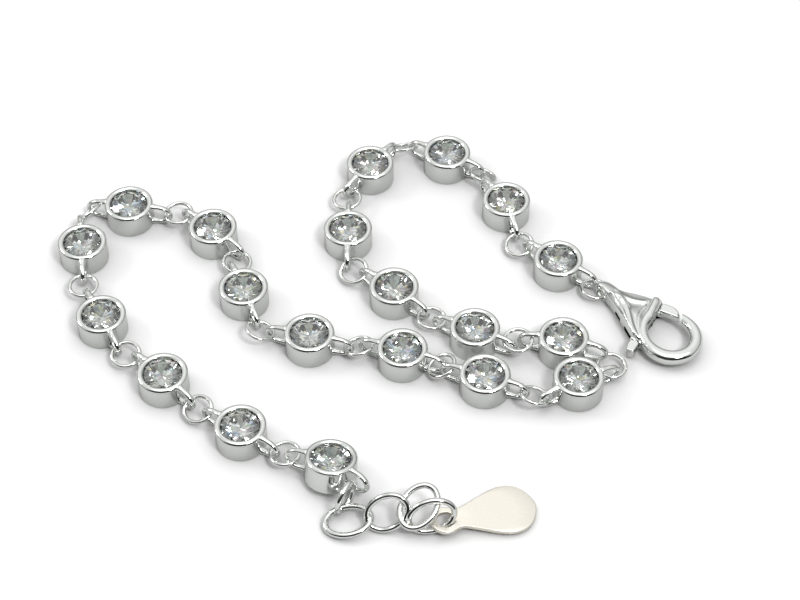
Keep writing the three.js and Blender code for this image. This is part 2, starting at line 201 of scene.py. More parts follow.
# Millimetres and degrees. x, y: cup centre; heading: way of the leading ear; lean: tilt about the ears;
# rear: bend of the rear ear; reach, height: where the jump ring passes the leading ear; swing, dip, bank:
# how that ring is turned.
STATION = np.dtype([(key, float) for key in (
    "x", "y", "heading", "lean", "rear", "reach", "height", "swing", "dip", "bank")])
STATIONS = np.array([
    (-5.5, -18.6, 164, 12, -22, 2.94, 0.7, -29, -6, 0),
    (-12.7, -14.8, 146, 0, 0, 3.19, 0.94, -1, -2, -17),
    (-19.3, -9.5, 136, 0, 0, 3.18, 0.97, 16, 1, -8),
    (-24.9, -3.3, 118, 0, 0, 3.2, 1.15, -5, 0, 0),
    (-27.3, 4.8, 100, 0, -4, 3.3, 1.2, -45, 0, -50),
    (-23.7, 9.3, -8, 0, 0, 3.2, 1.08, 13, 4, 2),
    (-16.2, 6.6, -42, 0, 0, 2.94, 1.01, -47, -3, -6),
    (-13.2, -0.3, -68, 0, 0, 3.21, 1.09, -3, 6, -20),
    (-7.5, -5.3, -14, 0, 0, 3.07, 0.75, 25, 9, -16),
    (0.2, -6.9, -19, 0, 0, 2.33, 0.49, 3, 25, 4),
    (6.9, -9.6, -20, 0, 0, 3.16, 1.28, -6, -5, -22),
    (14.5, -9.9, 22, 0, 8, 2.8, 0.65, 53, 3, 5),
    (13.5, -5.7, 172, 0, -9, 2.68, 1.61, 27, -3, 0),
    (6.2, -4.7, 155, 0, 0, 3.0, 0.69, -19, 1, 5),
    (-0.5, -0.2, 140, 0, 0, 3.2, 1.08, 10, -6, -19),
    (-4.5, 6.4, 90, 0, 0, 3.22, 1.07, 8, 0, -6),
    (-2.65, 14.3, 53, 0, 0, 3.17, 1.12, -37, -3, -33),
    (4.2, 15.6, -28, 0, 0, 2.5, 1.05, -6, -4, -25),
    (9.3, 9.8, -76, 0, 20, 3.18, 0.91, -1, -5, 11),
    (13.5, 2.9, -31, 0, -11, 2.65, 0.54, -13, 0, -10),
], dtype=STATION)
CUP_RADIUS = 2.1


def turn(degrees_x, degrees_y, degrees_z):
    """Rotation that turns about X, then Y, then Z: the product of the three plane rotations, the last one
    first."""
    a, b, c = np.radians([degrees_x, degrees_y, degrees_z])
    about_x = np.array([[1, 0, 0], [0, np.cos(a), -np.sin(a)], [0, np.sin(a), np.cos(a)]])
    about_y = np.array([[np.cos(b), 0, np.sin(b)], [0, 1, 0], [-np.sin(b), 0, np.cos(b)]])
    about_z = np.array([[np.cos(c), -np.sin(c), 0], [np.sin(c), np.cos(c), 0], [0, 0, 1]])
    return about_z @ about_y @ about_x


def at_station(points, station):
    """Cup-local points in millimetres, leaned about the ears, lifted so the foot rests, turned and moved."""
    lift = CUP_RADIUS * abs(np.sin(np.radians(station["lean"])))
    spun = points @ turn(station["lean"], 0, station["heading"]).T
    return spun + np.array([station["x"], station["y"], lift])


def rounded(corners, radii):
    """Closed profile with each corner replaced by an arc of six points: a quadratic curve between the points
    where the two sides leave the corner, pulled towards it."""
    corners = np.array(corners, float)
    back = np.roll(corners, 1, axis=0) - corners
    ahead = np.roll(corners, -1, axis=0) - corners
    back_length = np.linalg.norm(back, axis=1, keepdims=True)
    ahead_length = np.linalg.norm(ahead, axis=1, keepdims=True)
    trim = np.array(radii, float)[:, None]
    start = corners + back / back_length * np.minimum(trim, back_length * 0.49)
    end = corners + ahead / ahead_length * np.minimum(trim, ahead_length * 0.49)
    t = np.linspace(0, 1, 6)[None, :, None]
    arcs = (1 - t) ** 2 * start[:, None] + 2 * t * (1 - t) * corners[:, None] + t ** 2 * end[:, None]
    return arcs.reshape(-1, 2)


def piece(name, points, faces, smooth=True):
    """Mesh object from coil millimetres: moved to the frame's metres, one list of corners a face."""
    made = bpy.data.meshes.new(name)
    in_frame = np.asarray(points, float) * MM + np.array([COIL_X, COIL_Y, 0])
    made.from_pydata(in_frame.tolist(), [], [list(map(int, face)) for face in faces])
    made.polygons.foreach_set("use_smooth", np.full(len(made.polygons), smooth))
    made.update()
    thing = bpy.data.objects.new(name, made)
    bpy.context.scene.collection.objects.link(thing)
    return thing


def grid_faces(rows, columns, close_rows=True):
    """Corner numbers of the quads of a grid, row by row: each row closes on itself, and the last row may
    close on the first."""
    row = np.arange(rows if close_rows else rows - 1)[:, None]
    column = np.arange(columns)[None, :]
    next_row = (row + 1) % rows
    next_column = (column + 1) % columns
    quads = np.stack(np.broadcast_arrays(
        row * columns + column, next_row * columns + column,
        next_row * columns + next_column, row * columns + next_column), axis=-1)
    return quads.reshape(-1, 4)


def revolved(profile, sides):
    """Profile of radius and height carried round Z: x and y are the radius times the cosine and the sine of
    the angle."""
    angle = np.linspace(0, 2 * np.pi, sides, endpoint=False)[:, None]
    radius = profile[:, 0][None, :]
    height = np.broadcast_to(profile[:, 1][None, :], (sides, len(profile)))
    grid = np.stack([radius * np.cos(angle), radius * np.sin(angle), height], -1)
    return grid.reshape(-1, 3), grid_faces(sides, len(profile))


# Polished sterling silver: rhodium flashed, mirror bright, with the faint haze of handling, nine patches
# to the centimetre.
silver, tree = material("polished_silver")
position = node(tree, "ShaderNodeTexCoord")
haze = node(tree, "ShaderNodeTexNoise", {"Vector": position.outputs["Object"]}, Scale=9 / (10 * MM),
            Detail=3.0)
rough = node(tree, "ShaderNodeMapRange", {"Value": haze.outputs["Fac"]}, To_Min=0.05, To_Max=0.12)
metal = node(tree, "ShaderNodeBsdfPrincipled", {"Roughness": rough.outputs[0]},
             Base_Color=linear("#EDEFEC"), Metallic=1.0)
node(tree, "ShaderNodeOutputMaterial", {"Surface": metal.outputs[0]})

# Half the cup's section as radius and height: up the wall, over the rolled rim, down into the groove that
# holds the stone, and down the hole of its open back.
BACK_HOLE = 1.45
cup_profile = rounded(
    [(BACK_HOLE, 0.0), (2.08, 0.0), (2.07, 1.86), (CUP_RADIUS, 1.93), (CUP_RADIUS, 2.02), (2.05, 2.09),
     (1.96, 2.165), (1.77, 2.2), (1.6, 2.1), (1.6, 2.02), (1.78, 1.93), (BACK_HOLE, 1.58)],
    [0.05, 0.08, 0.03, 0.04, 0.04, 0.03, 0.09, 0.08, 0.04, 0.02, 0.05, 0.1])
cup_points, cup_faces = revolved(cup_profile, 96)
for number, station in enumerate(STATIONS, 1):
    cup = piece(f"bezel_cup_{number:02d}", at_station(cup_points, station), cup_faces)
    cup.data.materials.append(silver)
    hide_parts(f"bezel_link_{number:02d}")
    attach(cup, "bracelet")

# ---- Ears ----------------------------------------------------------------------------------------
# Two D-shaped loops of silver wire on each cup, standing upright and soldered to its wall with a small
# fillet at each foot. The wire is an oval, 0.36 mm thick in the loop's plane and 0.49 mm wide across it.


def along_path(path, section_radius, normal, sides=14, closed=False, flat=1.0):
    """Wire along a flat path: at each step an oval lies across the path, its axes the plane's normal, longer
    by the flat factor, and the sideways direction, and its radius follows the step."""
    path = np.asarray(path, float)
    ahead = np.roll(path, -1, axis=0) - np.roll(path, 1, axis=0)
    if not closed:
        ahead[0] = path[1] - path[0]
        ahead[-1] = path[-1] - path[-2]
    ahead /= np.linalg.norm(ahead, axis=1, keepdims=True)
    sideways = np.cross(normal, ahead)
    angle = np.linspace(0, 2 * np.pi, sides, endpoint=False)[None, :, None]
    radius = np.broadcast_to(section_radius, (len(path),))[:, None, None]
    upward = np.sin(angle) * flat * np.asarray(normal, float)
    grid = path[:, None] + radius * (np.cos(angle) * sideways[:, None] + upward)
    faces = [list(face[::-1]) for face in grid_faces(len(path), sides, close_rows=closed)]
    if not closed:
        faces.append(list(range(sides))[::-1])
        faces.append([(len(path) - 1) * sides + side for side in range(sides)])
    return grid.reshape(-1, 3), faces


# How far the wire's middle stands out from the wall, the height of the ear's middle and half its own
# height, where its feet start inside the wall, its thickness and how many times wider it is, and how much
# thicker the solder makes it at the wall, fading over the fillet's reach.
EAR_REACH = 1.56
EAR_MIDDLE = 1.085
EAR_HALF_HEIGHT = 0.83
EAR_ROOT = 1.9
EAR_WIRE = 0.36
EAR_WIDER = 1.35
FILLET = 0.07
FILLET_REACH = 0.22
bow = np.radians(np.linspace(-90, 90, 49))
ear_path = np.stack([CUP_RADIUS + EAR_REACH * np.cos(bow) ** 0.7, 0 * bow,
                     EAR_MIDDLE + EAR_HALF_HEIGHT * np.sin(bow)], axis=1)
ear_path = np.vstack([[EAR_ROOT, 0, ear_path[0, 2]], ear_path, [EAR_ROOT, 0, ear_path[-1, 2]]])
from_wall = ear_path[:, 0] - CUP_RADIUS
ear_radius = EAR_WIRE / 2 + FILLET * np.exp(-(np.clip(from_wall, 0, None) / FILLET_REACH) ** 2)
ear_points, ear_faces = along_path(ear_path, ear_radius, [0, 1, 0], flat=EAR_WIDER)
for number, station in enumerate(STATIONS, 1):
    rear_points = ear_points @ turn(0, 0, 180 + station["rear"]).T
    both = np.vstack([ear_points, rear_points])
    both_faces = ear_faces + [[corner + len(ear_points) for corner in face] for face in ear_faces]
    ears = piece(f"ears_{number:02d}", at_station(both, station), both_faces)
    ears.data.materials.append(silver)
    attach(ears, "bracelet")

# ---- Jump rings ----------------------------------------------------------------------------------
# Rings of 0.33 mm silver wire, 2.65 mm across, each passed through the ears of two neighbours, closed and
# soldered. The last one holds the clasp's tail.

# The radius is that of the wire's middle.
RING_WIRE = 0.33
RING_RADIUS = 1.16
ring_angle = np.linspace(0, 2 * np.pi, 56, endpoint=False)[:, None]
for number, station in enumerate(STATIONS, 1):
    start = at_station(np.array([[station["reach"], 0, station["height"]]]), station)[0]
    way = np.radians(station["heading"] + station["swing"])
    dip = np.radians(station["dip"])
    bank = np.radians(station["bank"])
    onward = np.array([np.cos(way) * np.cos(dip), np.sin(way) * np.cos(dip), np.sin(dip)])
    level = np.cross([0, 0, 1], onward)
    level /= np.linalg.norm(level)
    side = level * np.cos(bank) + np.cross(onward, level) * np.sin(bank)
    ring_path = start + RING_RADIUS * (onward + np.cos(ring_angle) * onward + np.sin(ring_angle) * side)
    ring_points, ring_faces = along_path(ring_path, RING_WIRE / 2, np.cross(onward, side), closed=True)
    ring = piece(f"jump_ring_{number:02d}", ring_points, ring_faces)
    ring.data.materials.append(silver)
    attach(ring, "bracelet")

# ---- Stones --------------------------------------------------------------------------------------
# Round brilliant-cut cubic zirconia, 3.4 mm, held in the cup's groove: an eight-sided table, star, kite
# and girdle facets above, and mains and lower facets down to the culet below.

# Cubic zirconia, refractive index 2.16: clear with a breath of green-grey, greyer in some patches. Its fire
# is painted: sparse patches tinted yellow, blue, pink and green stand in for its flashes of coloured light.
# The painted patches change from patch to patch, about every third of a millimetre.
FIRE_PATCH_SIZE = 0.32
crystal, tree = material("cubic_zirconia")
position = node(tree, "ShaderNodeTexCoord")
fire_patches = node(tree, "ShaderNodeTexVoronoi", {"Vector": position.outputs["Object"]},
              Scale=1 / (FIRE_PATCH_SIZE * MM))
split = node(tree, "ShaderNodeSeparateColor", {"Color": fire_patches.outputs["Color"]})
# Painted fire: the ramp tints random patches yellow, blue, pink and green, standing in for the stone's
# coloured flashes.
painted_fire = node(tree, "ShaderNodeValToRGB", {"Fac": split.outputs[0]})
PAINTED_FIRE = ((0.0, "#F4E7A8"), (0.035, "#F4E7A8"), (0.05, "#F2F6F2"), (0.4, "#EDF2ED"), (0.41, "#B9D4F2"),
        (0.46, "#B9D4F2"), (0.47, "#BCC3BD"), (0.68, "#C6CCC6"), (0.69, "#F4F8F4"), (0.9, "#F4F8F4"),
        (0.91, "#EFC3DA"), (0.94, "#EFC3DA"), (0.95, "#C8EBC4"), (0.975, "#C8EBC4"), (0.985, "#F2F6F2"))
while len(painted_fire.color_ramp.elements) < len(PAINTED_FIRE):
    painted_fire.color_ramp.elements.new(1.0)
for stop, (stop_at, tint) in zip(painted_fire.color_ramp.elements, PAINTED_FIRE):
    stop.position = stop_at
    stop.color = linear(tint)
gem = node(tree, "ShaderNodeBsdfPrincipled", {"Base Color": painted_fire.outputs[0]}, Roughness=0.0, IOR=2.16,
           Transmission_Weight=1.0)
# It casts hardly any shadow, so that daylight reaches the inside of its cup.
path = node(tree, "ShaderNodeLightPath")
clear = node(tree, "ShaderNodeBsdfTransparent", Color=linear("#E2E6E2"))
lit = node(tree, "ShaderNodeMixShader", {0: path.outputs["Is Shadow Ray"], 1: gem.outputs[0],
                                         2: clear.outputs[0]})
node(tree, "ShaderNodeOutputMaterial", {"Surface": lit.outputs[0]})

# How far from the axis the corners of each row are, and then how high.
GIRDLE = 1.69
TABLE = 0.94
STAR = 1.33
LOWER = 0.38
TABLE_HEIGHT = 2.3
GIRDLE_TOP = 1.89
GIRDLE_FOOT = 1.83
CULET_HEIGHT = 0.38
# No two neighbours are set the same way round: each is turned on from the last, in degrees.
TURNED_ON = 37.0
eighth = np.arange(8) * np.pi / 4
half_step = eighth + np.pi / 8
sixteenth = np.arange(16) * np.pi / 8


def ring_of(radius, angles, height):
    """Points round Z at one radius and height: x and y are the radius times the cosine and the sine of each
    angle."""
    return np.stack([radius * np.cos(angles), radius * np.sin(angles), np.full(len(angles), height)], 1)


# The star corners lie on the crown's main facets, and the lower ones on the pavilion's.
crown_share = (STAR * np.cos(np.pi / 8) - TABLE) / (GIRDLE - TABLE)
star_height = TABLE_HEIGHT - crown_share * (TABLE_HEIGHT - GIRDLE_TOP)
lower_height = CULET_HEIGHT + LOWER * np.cos(np.pi / 8) / GIRDLE * (GIRDLE_FOOT - CULET_HEIGHT)
gem_points = np.vstack([
    ring_of(TABLE, eighth, TABLE_HEIGHT),
    ring_of(STAR, half_step, star_height),
    ring_of(GIRDLE, sixteenth, GIRDLE_TOP),
    ring_of(GIRDLE, sixteenth, GIRDLE_FOOT),
    ring_of(LOWER, half_step, lower_height),
    [[0, 0, CULET_HEIGHT]],
])
# The number of the first corner in each row of them, and the corners round a row of eight and of sixteen.
table, star, girdle, under, lower, culet = 0, 8, 16, 32, 48, 56
eight = np.arange(8)
before = (eight - 1) % 8
after = (eight + 1) % 8
main = 2 * eight
between = 2 * eight + 1
next_main = (2 * eight + 2) % 16
sixteen = np.arange(16)
next_edge = (sixteen + 1) % 16
gem_faces = [list(range(8))]
for corners in (
        [table + eight, star + eight, table + after],
        [table + eight, star + before, girdle + main, star + eight],
        [star + eight, girdle + main, girdle + between],
        [star + eight, girdle + between, girdle + next_main],
        [girdle + sixteen, under + sixteen, under + next_edge, girdle + next_edge],
        [under + main, lower + eight, under + between],
        [under + between, lower + eight, under + next_main],
        [under + main, lower + before, np.full(8, culet), lower + eight]):
    gem_faces += np.stack(corners, 1).tolist()
for number, station in enumerate(STATIONS, 1):
    spun = gem_points @ turn(0, 0, TURNED_ON * number).T
    stone = piece(f"stone_cut_{number:02d}", at_station(spun, station), gem_faces, smooth=False)
    stone.data.materials.append(crystal)
    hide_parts(f"stone_{number:02d}")
    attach(stone, "bracelet")

# ---- Extender links ------------------------------------------------------------------------------
# A round link and four oval ones, bent from silver wire of 0.47 to 0.5 mm, hooked through one another,
# closed and soldered. They lie loosely, one on another.

# Outer length and width, wire, place of the middle, and turn about X, Y and Z in degrees.
LINK = np.dtype([("length", float), ("width", float), ("wire", float), ("at", float, 3), ("turn", float, 3)])
LINKS = np.array([
    (3.0, 3.0, 0.47, (-4.18, -21.31, 1.52), (92, 0, 60)),
    (4.1, 3.1, 0.5, (-4.02, -22.95, 0.62), (1, -7, 8)),
    (4.0, 3.1, 0.48, (-1.0, -22.82, 1.54), (50, -34, 14)),
    (4.1, 3.1, 0.48, (1.44, -22.49, 1.88), (-190.7, 21.2, -126.3)),
    (4.1, 3.1, 0.48, (2.43, -23.09, 1.47), (64.2, -11.5, 11.7)),
], dtype=LINK)
link_angle = np.linspace(0, 2 * np.pi, 72, endpoint=False)
for number, link in enumerate(LINKS, 1):
    half_length = (link["length"] - link["wire"]) / 2
    half_width = (link["width"] - link["wire"]) / 2
    oval = np.stack([half_length * np.cos(link_angle), half_width * np.sin(link_angle), 0 * link_angle], 1)
    link_points, link_faces = along_path(oval, link["wire"] / 2, [0, 0, 1], sides=16, closed=True)
    placed = link_points @ turn(*link["turn"]).T + link["at"]
    loop = piece(f"extender_loop_{number:02d}", placed, link_faces)
    loop.data.materials.append(silver)
    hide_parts(f"extender_link_{number:02d}")
    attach(loop, "bracelet")

# ---- End tag -------------------------------------------------------------------------------------
# Leaf-shaped plate of 0.35 mm silver, pierced at its head for the last link, tumbled to a soft bright
# finish. It lies nearly flat, its head raised on the chain.

# Soft polished silver: pale and creamy, its mirror blurred by tumbling.
GRAIN_SIZE = 0.4
soft_silver, tree = material("tumbled_silver")
position = node(tree, "ShaderNodeTexCoord")
grain = node(tree, "ShaderNodeTexNoise", {"Vector": position.outputs["Object"]},
             Scale=1 / (GRAIN_SIZE * MM), Detail=4.0)
rough = node(tree, "ShaderNodeMapRange", {"Value": grain.outputs["Fac"]}, To_Min=0.25, To_Max=0.29)
dent = node(tree, "ShaderNodeBump", {"Height": grain.outputs["Fac"]}, Strength=0.006, Distance=0.01 * MM)
metal = node(tree, "ShaderNodeBsdfPrincipled", {"Roughness": rough.outputs[0], "Normal": dent.outputs[0]},
             Base_Color=linear("#FFFAEE"), Metallic=1.0)
node(tree, "ShaderNodeOutputMaterial", {"Surface": metal.outputs[0]})

# The middle of its hole, its turn about X, Y and Z in degrees, its thickness, the hole's radius and the
# radius of its edges.
TAG_AT = (3.52, -23.06, 0.79)
TAG_TURN = (0, 4.8, 15)
TAG_THICK = 0.35
TAG_HOLE = 0.69
TAG_ROUND = 0.09
# Along the tag from the hole's centre, and half its width there.
TAG_EDGE = np.array([
    (-1.21, 0.0), (-1.14, 0.4), (-0.94, 0.76), (-0.6, 1.05), (-0.2, 1.19), (0.3, 1.17), (0.8, 0.97),
    (1.3, 0.88), (2.2, 1.2), (3.0, 1.55), (3.9, 1.93), (4.9, 2.2), (5.9, 2.08), (6.6, 1.6), (7.1, 0.85),
    (7.33, 0.0)])


def smooth_path(points, count, closed=False):
    """Even steps along a curve through the points: each coordinate is a cubic whose slope at a point is half
    the difference of its neighbours."""
    points = np.asarray(points, float)
    if closed:
        padded = np.vstack([points[-1:], points, points[:2]])
    else:
        padded = np.vstack([2 * points[0] - points[1], points, 2 * points[-1] - points[-2]])
    spans = len(padded) - 3
    t = np.linspace(0, spans, 40 * spans + 1)
    i = np.minimum(t.astype(int), spans - 1)
    f = (t - i)[:, None]
    a, b, c, d = padded[i], padded[i + 1], padded[i + 2], padded[i + 3]
    bend = 2 * a - 5 * b + 4 * c - d
    twist = 3 * b - a - 3 * c + d
    fine = 0.5 * (2 * b + (c - a) * f + bend * f ** 2 + twist * f ** 3)
    length = np.concatenate([[0], np.cumsum(np.linalg.norm(np.diff(fine, axis=0), axis=1))])
    steps = np.linspace(0, length[-1], count, endpoint=not closed)
    return np.stack([np.interp(steps, length, fine[:, axis]) for axis in range(fine.shape[1])], axis=1)


tag_outline = smooth_path(np.vstack([TAG_EDGE, TAG_EDGE[-2:0:-1] * [1, -1]]), 180, closed=True)
bearing = np.arctan2(tag_outline[:, 1], tag_outline[:, 0])
tag_hole = TAG_HOLE * np.stack([np.cos(bearing), np.sin(bearing)], axis=1)
across_plate = tag_outline - tag_hole
outward = across_plate / np.linalg.norm(across_plate, axis=1)[:, None]
# Its edges are rounded by a quarter circle above and below: how far in and how far down each row of
# points lies.
quarter = np.radians(np.linspace(0, 90, 5))
side_inset = TAG_ROUND - TAG_ROUND * np.sin(quarter)
side_drop = TAG_ROUND - TAG_ROUND * np.cos(quarter)
inset = np.concatenate([side_inset, side_inset[::-1]])
drop = np.concatenate([side_drop, TAG_THICK - side_drop[::-1]])


def tag_row(outline, height):
    """The outline's points, all at one height."""
    return np.column_stack([outline, np.full(len(outline), height)])


# Up the hole's wall, out over the top, down the outer edge and back in underneath.
tag_rows = []
for shift, depth in zip(inset[::-1], drop[::-1]):
    tag_rows.append(tag_row(tag_hole + outward * shift * 0.7, TAG_THICK / 2 - depth))
for share in (0.25, 0.5, 0.75):
    tag_rows.append(tag_row(tag_hole + across_plate * share, TAG_THICK / 2))
for shift, depth in zip(inset, drop):
    tag_rows.append(tag_row(tag_outline - outward * shift, TAG_THICK / 2 - depth))
for share in (0.75, 0.5, 0.25):
    tag_rows.append(tag_row(tag_hole + across_plate * share, -TAG_THICK / 2))
tag = piece("tag_plate", np.concatenate(tag_rows) @ turn(*TAG_TURN).T + TAG_AT,
            grid_faces(len(tag_rows), len(tag_hole))[:, ::-1])
tag.data.materials.append(soft_silver)
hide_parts("end_tag")
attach(tag, "bracelet")

# ---- Clasp body ----------------------------------------------------------------------------------
# Cast lobster clasp, hollow for its lever and polished: a tapered body with raised ribs round a dished
# panel, and a round hook whose band runs on round its hole and over the body as a collar.

CLASP_AT = np.array([17.52, 0.2, 0.0])
CLASP_TURN = turn(0, 0, -56)
# The middle of the hook's hole, along and across the clasp, and half its length and width.
HOLE = np.array([6.8, 1.22])
HOLE_ALONG = 1.8
HOLE_ACROSS = 1.62


def in_clasp(points):
    """Clasp-local points (along from the tail, across to its left, up) turned and moved to the coil."""
    return np.asarray(points, float) @ CLASP_TURN.T + CLASP_AT


# The band round the hook's hole, from the hook's tip to the collar's end: degrees from straight ahead,
# outer reach, top and bottom.
BAND = np.array([
    (124, 2.55, 1.5, 0.52),
    (108, 2.53, 1.53, 0.5),
    (90, 2.56, 1.56, 0.48),
    (45, 2.82, 1.57, 0.45),
    (0, 3.0, 1.57, 0.42),
    (-45, 2.92, 1.57, 0.4),
    (-90, 2.66, 1.58, 0.38),
    (-120, 2.64, 1.64, 0.3),
    (-140, 2.66, 1.7, 0.2),
    (-160, 2.8, 1.76, 0.15),
    (-178, 3.0, 1.8, 0.12),
    (-190, 3.45, 1.8, 0.1),
    (-200, 4.1, 1.76, 0.1),
    (-205, 3.97, 1.68, 0.12),
    (-211, 3.75, 1.5, 0.2)])
TIP, COLLAR_END = BAND[0, 0], BAND[-1, 0]
band_way = np.linspace(TIP, COLLAR_END, 170)
reach = np.interp(-band_way, -BAND[:, 0], BAND[:, 1])
band_top = np.interp(-band_way, -BAND[:, 0], BAND[:, 2])
band_low = np.interp(-band_way, -BAND[:, 0], BAND[:, 3])
spread = np.radians(band_way)
# The hole is an oval, but at the collar its edge runs straight: how far that line is from the middle of
# the hole, which way it faces, and where it starts.
STRAIGHT = 1.631
STRAIGHT_WAY = -149
STRAIGHT_FROM = -170
inner = 1 / np.hypot(np.cos(spread) / HOLE_ALONG, np.sin(spread) / HOLE_ACROSS)
straight = STRAIGHT / np.maximum(np.cos(spread - np.radians(STRAIGHT_WAY)), 0.3)
inner = np.where(band_way < STRAIGHT_FROM, np.maximum(inner, straight), inner)
width = np.maximum(reach - inner, 0.3)
# Both ends close along a quarter circle, over this many degrees.
TIP_ROUND = 8
COLLAR_ROUND = 9
tip_end = np.sqrt(1 - (1 - np.clip((TIP - band_way) / TIP_ROUND, 0, 1)) ** 2)
collar_end = np.sqrt(1 - (1 - np.clip((band_way - COLLAR_END) / COLLAR_ROUND, 0, 1)) ** 2)
ends = np.maximum(tip_end * collar_end, 0.02)
around = np.linspace(0, 2 * np.pi, 48, endpoint=False)
bulge = np.sign(np.cos(around)) * np.abs(np.cos(around)) ** 0.8
# Its section is full outside, and rounder towards the hole.
lift = np.sign(np.sin(around)) * np.abs(np.sin(around)) ** np.where(np.cos(around) > 0, 0.84, 0.95)
radial = (inner + width / 2)[:, None] + (width / 2 * ends)[:, None] * bulge
upright = ((band_top + band_low) / 2)[:, None] + ((band_top - band_low) / 2 * ends)[:, None] * lift
hook_grid = np.stack([HOLE[0] + radial * np.cos(spread)[:, None], HOLE[1] + radial * np.sin(spread)[:, None],
                      upright], -1)


def capped(rows, columns):
    """Faces of a tube given as rows of points: the quads between its rows, and one face over each end."""
    quads = [list(face) for face in grid_faces(rows, columns, close_rows=False)]
    first_end = list(range(columns))[::-1]
    last_end = [(rows - 1) * columns + column for column in range(columns)]
    return quads + [first_end, last_end]


hook = piece("clasp_hook", in_clasp(hook_grid.reshape(-1, 3)), capped(len(band_way), len(around)))


def slab(outline, low, high, edge, top=None):
    """Solid between two heights over an outline, or from one outline up to another: its rim is drawn in by
    the edge radius along a quarter circle above and below, each corner moving along the mean of its two
    sides' normals."""
    shift = np.zeros(1)
    rise = np.zeros(1)
    if edge:
        quarter_turn = np.radians(np.linspace(0, 90, 4))
        shift = np.concatenate([[edge + 0.03], edge * (1 - np.sin(quarter_turn))])
        rise = np.concatenate([[0], edge * (1 - np.cos(quarter_turn))])
    loops = []
    for shape, height, sense in ((outline, low, 1), (outline if top is None else top, high, -1)):
        shape = np.asarray(shape, float)
        ahead = np.roll(shape, -1, axis=0) - shape
        if (shape[:, 0] * ahead[:, 1] - shape[:, 1] * ahead[:, 0]).sum() < 0:
            shape = shape[::-1]
            ahead = np.roll(shape, -1, axis=0) - shape
        ahead /= np.linalg.norm(ahead, axis=1, keepdims=True)
        normal = np.column_stack([ahead[:, 1], -ahead[:, 0]])
        mean = normal + np.roll(normal, 1, axis=0)
        mean /= np.maximum((mean * normal).sum(axis=1, keepdims=True), 0.5)
        for inward, step_up in list(zip(shift, rise))[::sense]:
            level_here = np.full(len(shape), height + sense * step_up)
            loops.append(np.column_stack([shape - mean * inward, level_here]))
    faces = [list(face) for face in grid_faces(len(loops), len(outline), close_rows=False)[:, ::-1]]
    faces.append(list(range(len(outline)))[::-1])
    faces.append([(len(loops) - 1) * len(outline) + corner for corner in range(len(outline))])
    return np.concatenate(loops), faces


# An edge where two faces meet at more than this angle stays sharp.
CREASE = np.radians(38)


def cut_away(thing, outline, low, high):
    """Takes the straight-sided block between two heights over the outline out of a piece, and keeps its
    edges crisp."""
    block_points, block_faces = slab(outline, low, high, 0)
    block = piece("block", in_clasp(block_points), block_faces, smooth=False)
    work = thing.modifiers.new("cut", "BOOLEAN")
    work.operation = "DIFFERENCE"
    work.solver = "EXACT"
    work.object = block
    bpy.context.view_layer.update()
    shaped = bpy.data.meshes.new_from_object(thing.evaluated_get(bpy.context.evaluated_depsgraph_get()))
    thing.modifiers.clear()
    thing.data = shaped
    bpy.data.objects.remove(block)
    thing.data.set_sharp_from_angle(angle=CREASE)


# The mouth between the body and the hook's tip, and the slots inside that the gate's arm and the thumb
# tab's arm swing in, each with its bottom and its top.
MOUTH = ([(3.4, 4.1), (3.85, 3.15), (4.08, 2.8), (4.3, 2.42), (4.47, 2.05), (4.7, 1.5), (6.0, 2.0),
          (6.5, 2.7), (6.24, 3.06), (5.9, 3.34), (5.68, 3.78), (5.6, 4.1)], -0.5, 2.5)
GATE_SLOT = ([(3.3, 0.6), (3.85, 3.2), (6.2, 2.9), (5.5, 0.3), (5.3, -0.7), (4.3, -0.75), (3.3, -0.4)],
             0.42, 1.27)
TAB_SLOT = ([(3.7, 0.3), (5.6, 0.3), (6.35, -2.1), (5.2, -2.6), (4.1, -2.4)], 0.5, 0.96)
for opening in (MOUTH, GATE_SLOT, TAB_SLOT):
    cut_away(hook, *opening)
hook.data.materials.append(silver)
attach(hook, "bracelet")

# Along the body from the tail: its right and left edges at the top.
SIDES = np.array([
    (0.15, -0.42, 0.4), (0.5, -0.52, 0.62), (1.2, -0.56, 1.2), (1.8, -0.64, 1.85), (2.4, -0.76, 2.4),
    (2.9, -0.88, 2.72), (3.3, -0.98, 2.7), (3.7, -1.07, 2.1), (4.2, -1.2, 1.3), (4.7, -1.32, 0.6),
    (5.2, -1.42, 0.1), (5.7, -1.45, -0.3), (6.1, -1.28, -0.6), (6.4, -1.08, -0.75)])
# Crest lines of the raised ribs: along the right side, down the middle, along the panel's back at the
# left, and over the shoulder. Beside the last one runs a groove, and near the hook there is a notch.
RIB_SPINE = np.array([(0.3, -0.3), (1.2, -0.22), (2.55, -0.47), (3.8, -0.93), (5.2, -1.38)])
RIB_MIDDLE = np.array([(0.8, -0.1), (1.6, 0.22), (2.5, 0.05), (3.3, -0.3), (4.4, -0.85), (5.6, -1.25)])
RIB_BACK = np.array([(0.24, 0.19), (0.79, 0.41), (1.38, 0.5), (2.19, 0.92), (2.66, 1.39), (3.13, 2.05)])
RIB_SHOULDER = np.array([(3.13, 2.05), (3.5, 1.6), (3.74, 0.98), (3.95, 0.37), (4.7, -0.35), (5.7, -0.9)])
GROOVE = np.array([(3.13, 2.4), (3.6, 1.6), (3.95, 0.75), (4.5, 0.1), (5.2, -0.4)])
NOTCH = np.array([(6.1, -1.3), (6.2, -1.2), (6.3, -1.1)])


def nearness(points, line, reach):
    """How near each point is to a line of points: one on the line, falling as the bell curve of the distance
    over the reach."""
    fine = smooth_path(line, 120)
    gap = np.linalg.norm(points[..., None, :] - fine, axis=-1).min(axis=-1)
    return np.exp(-(gap / reach) ** 2)


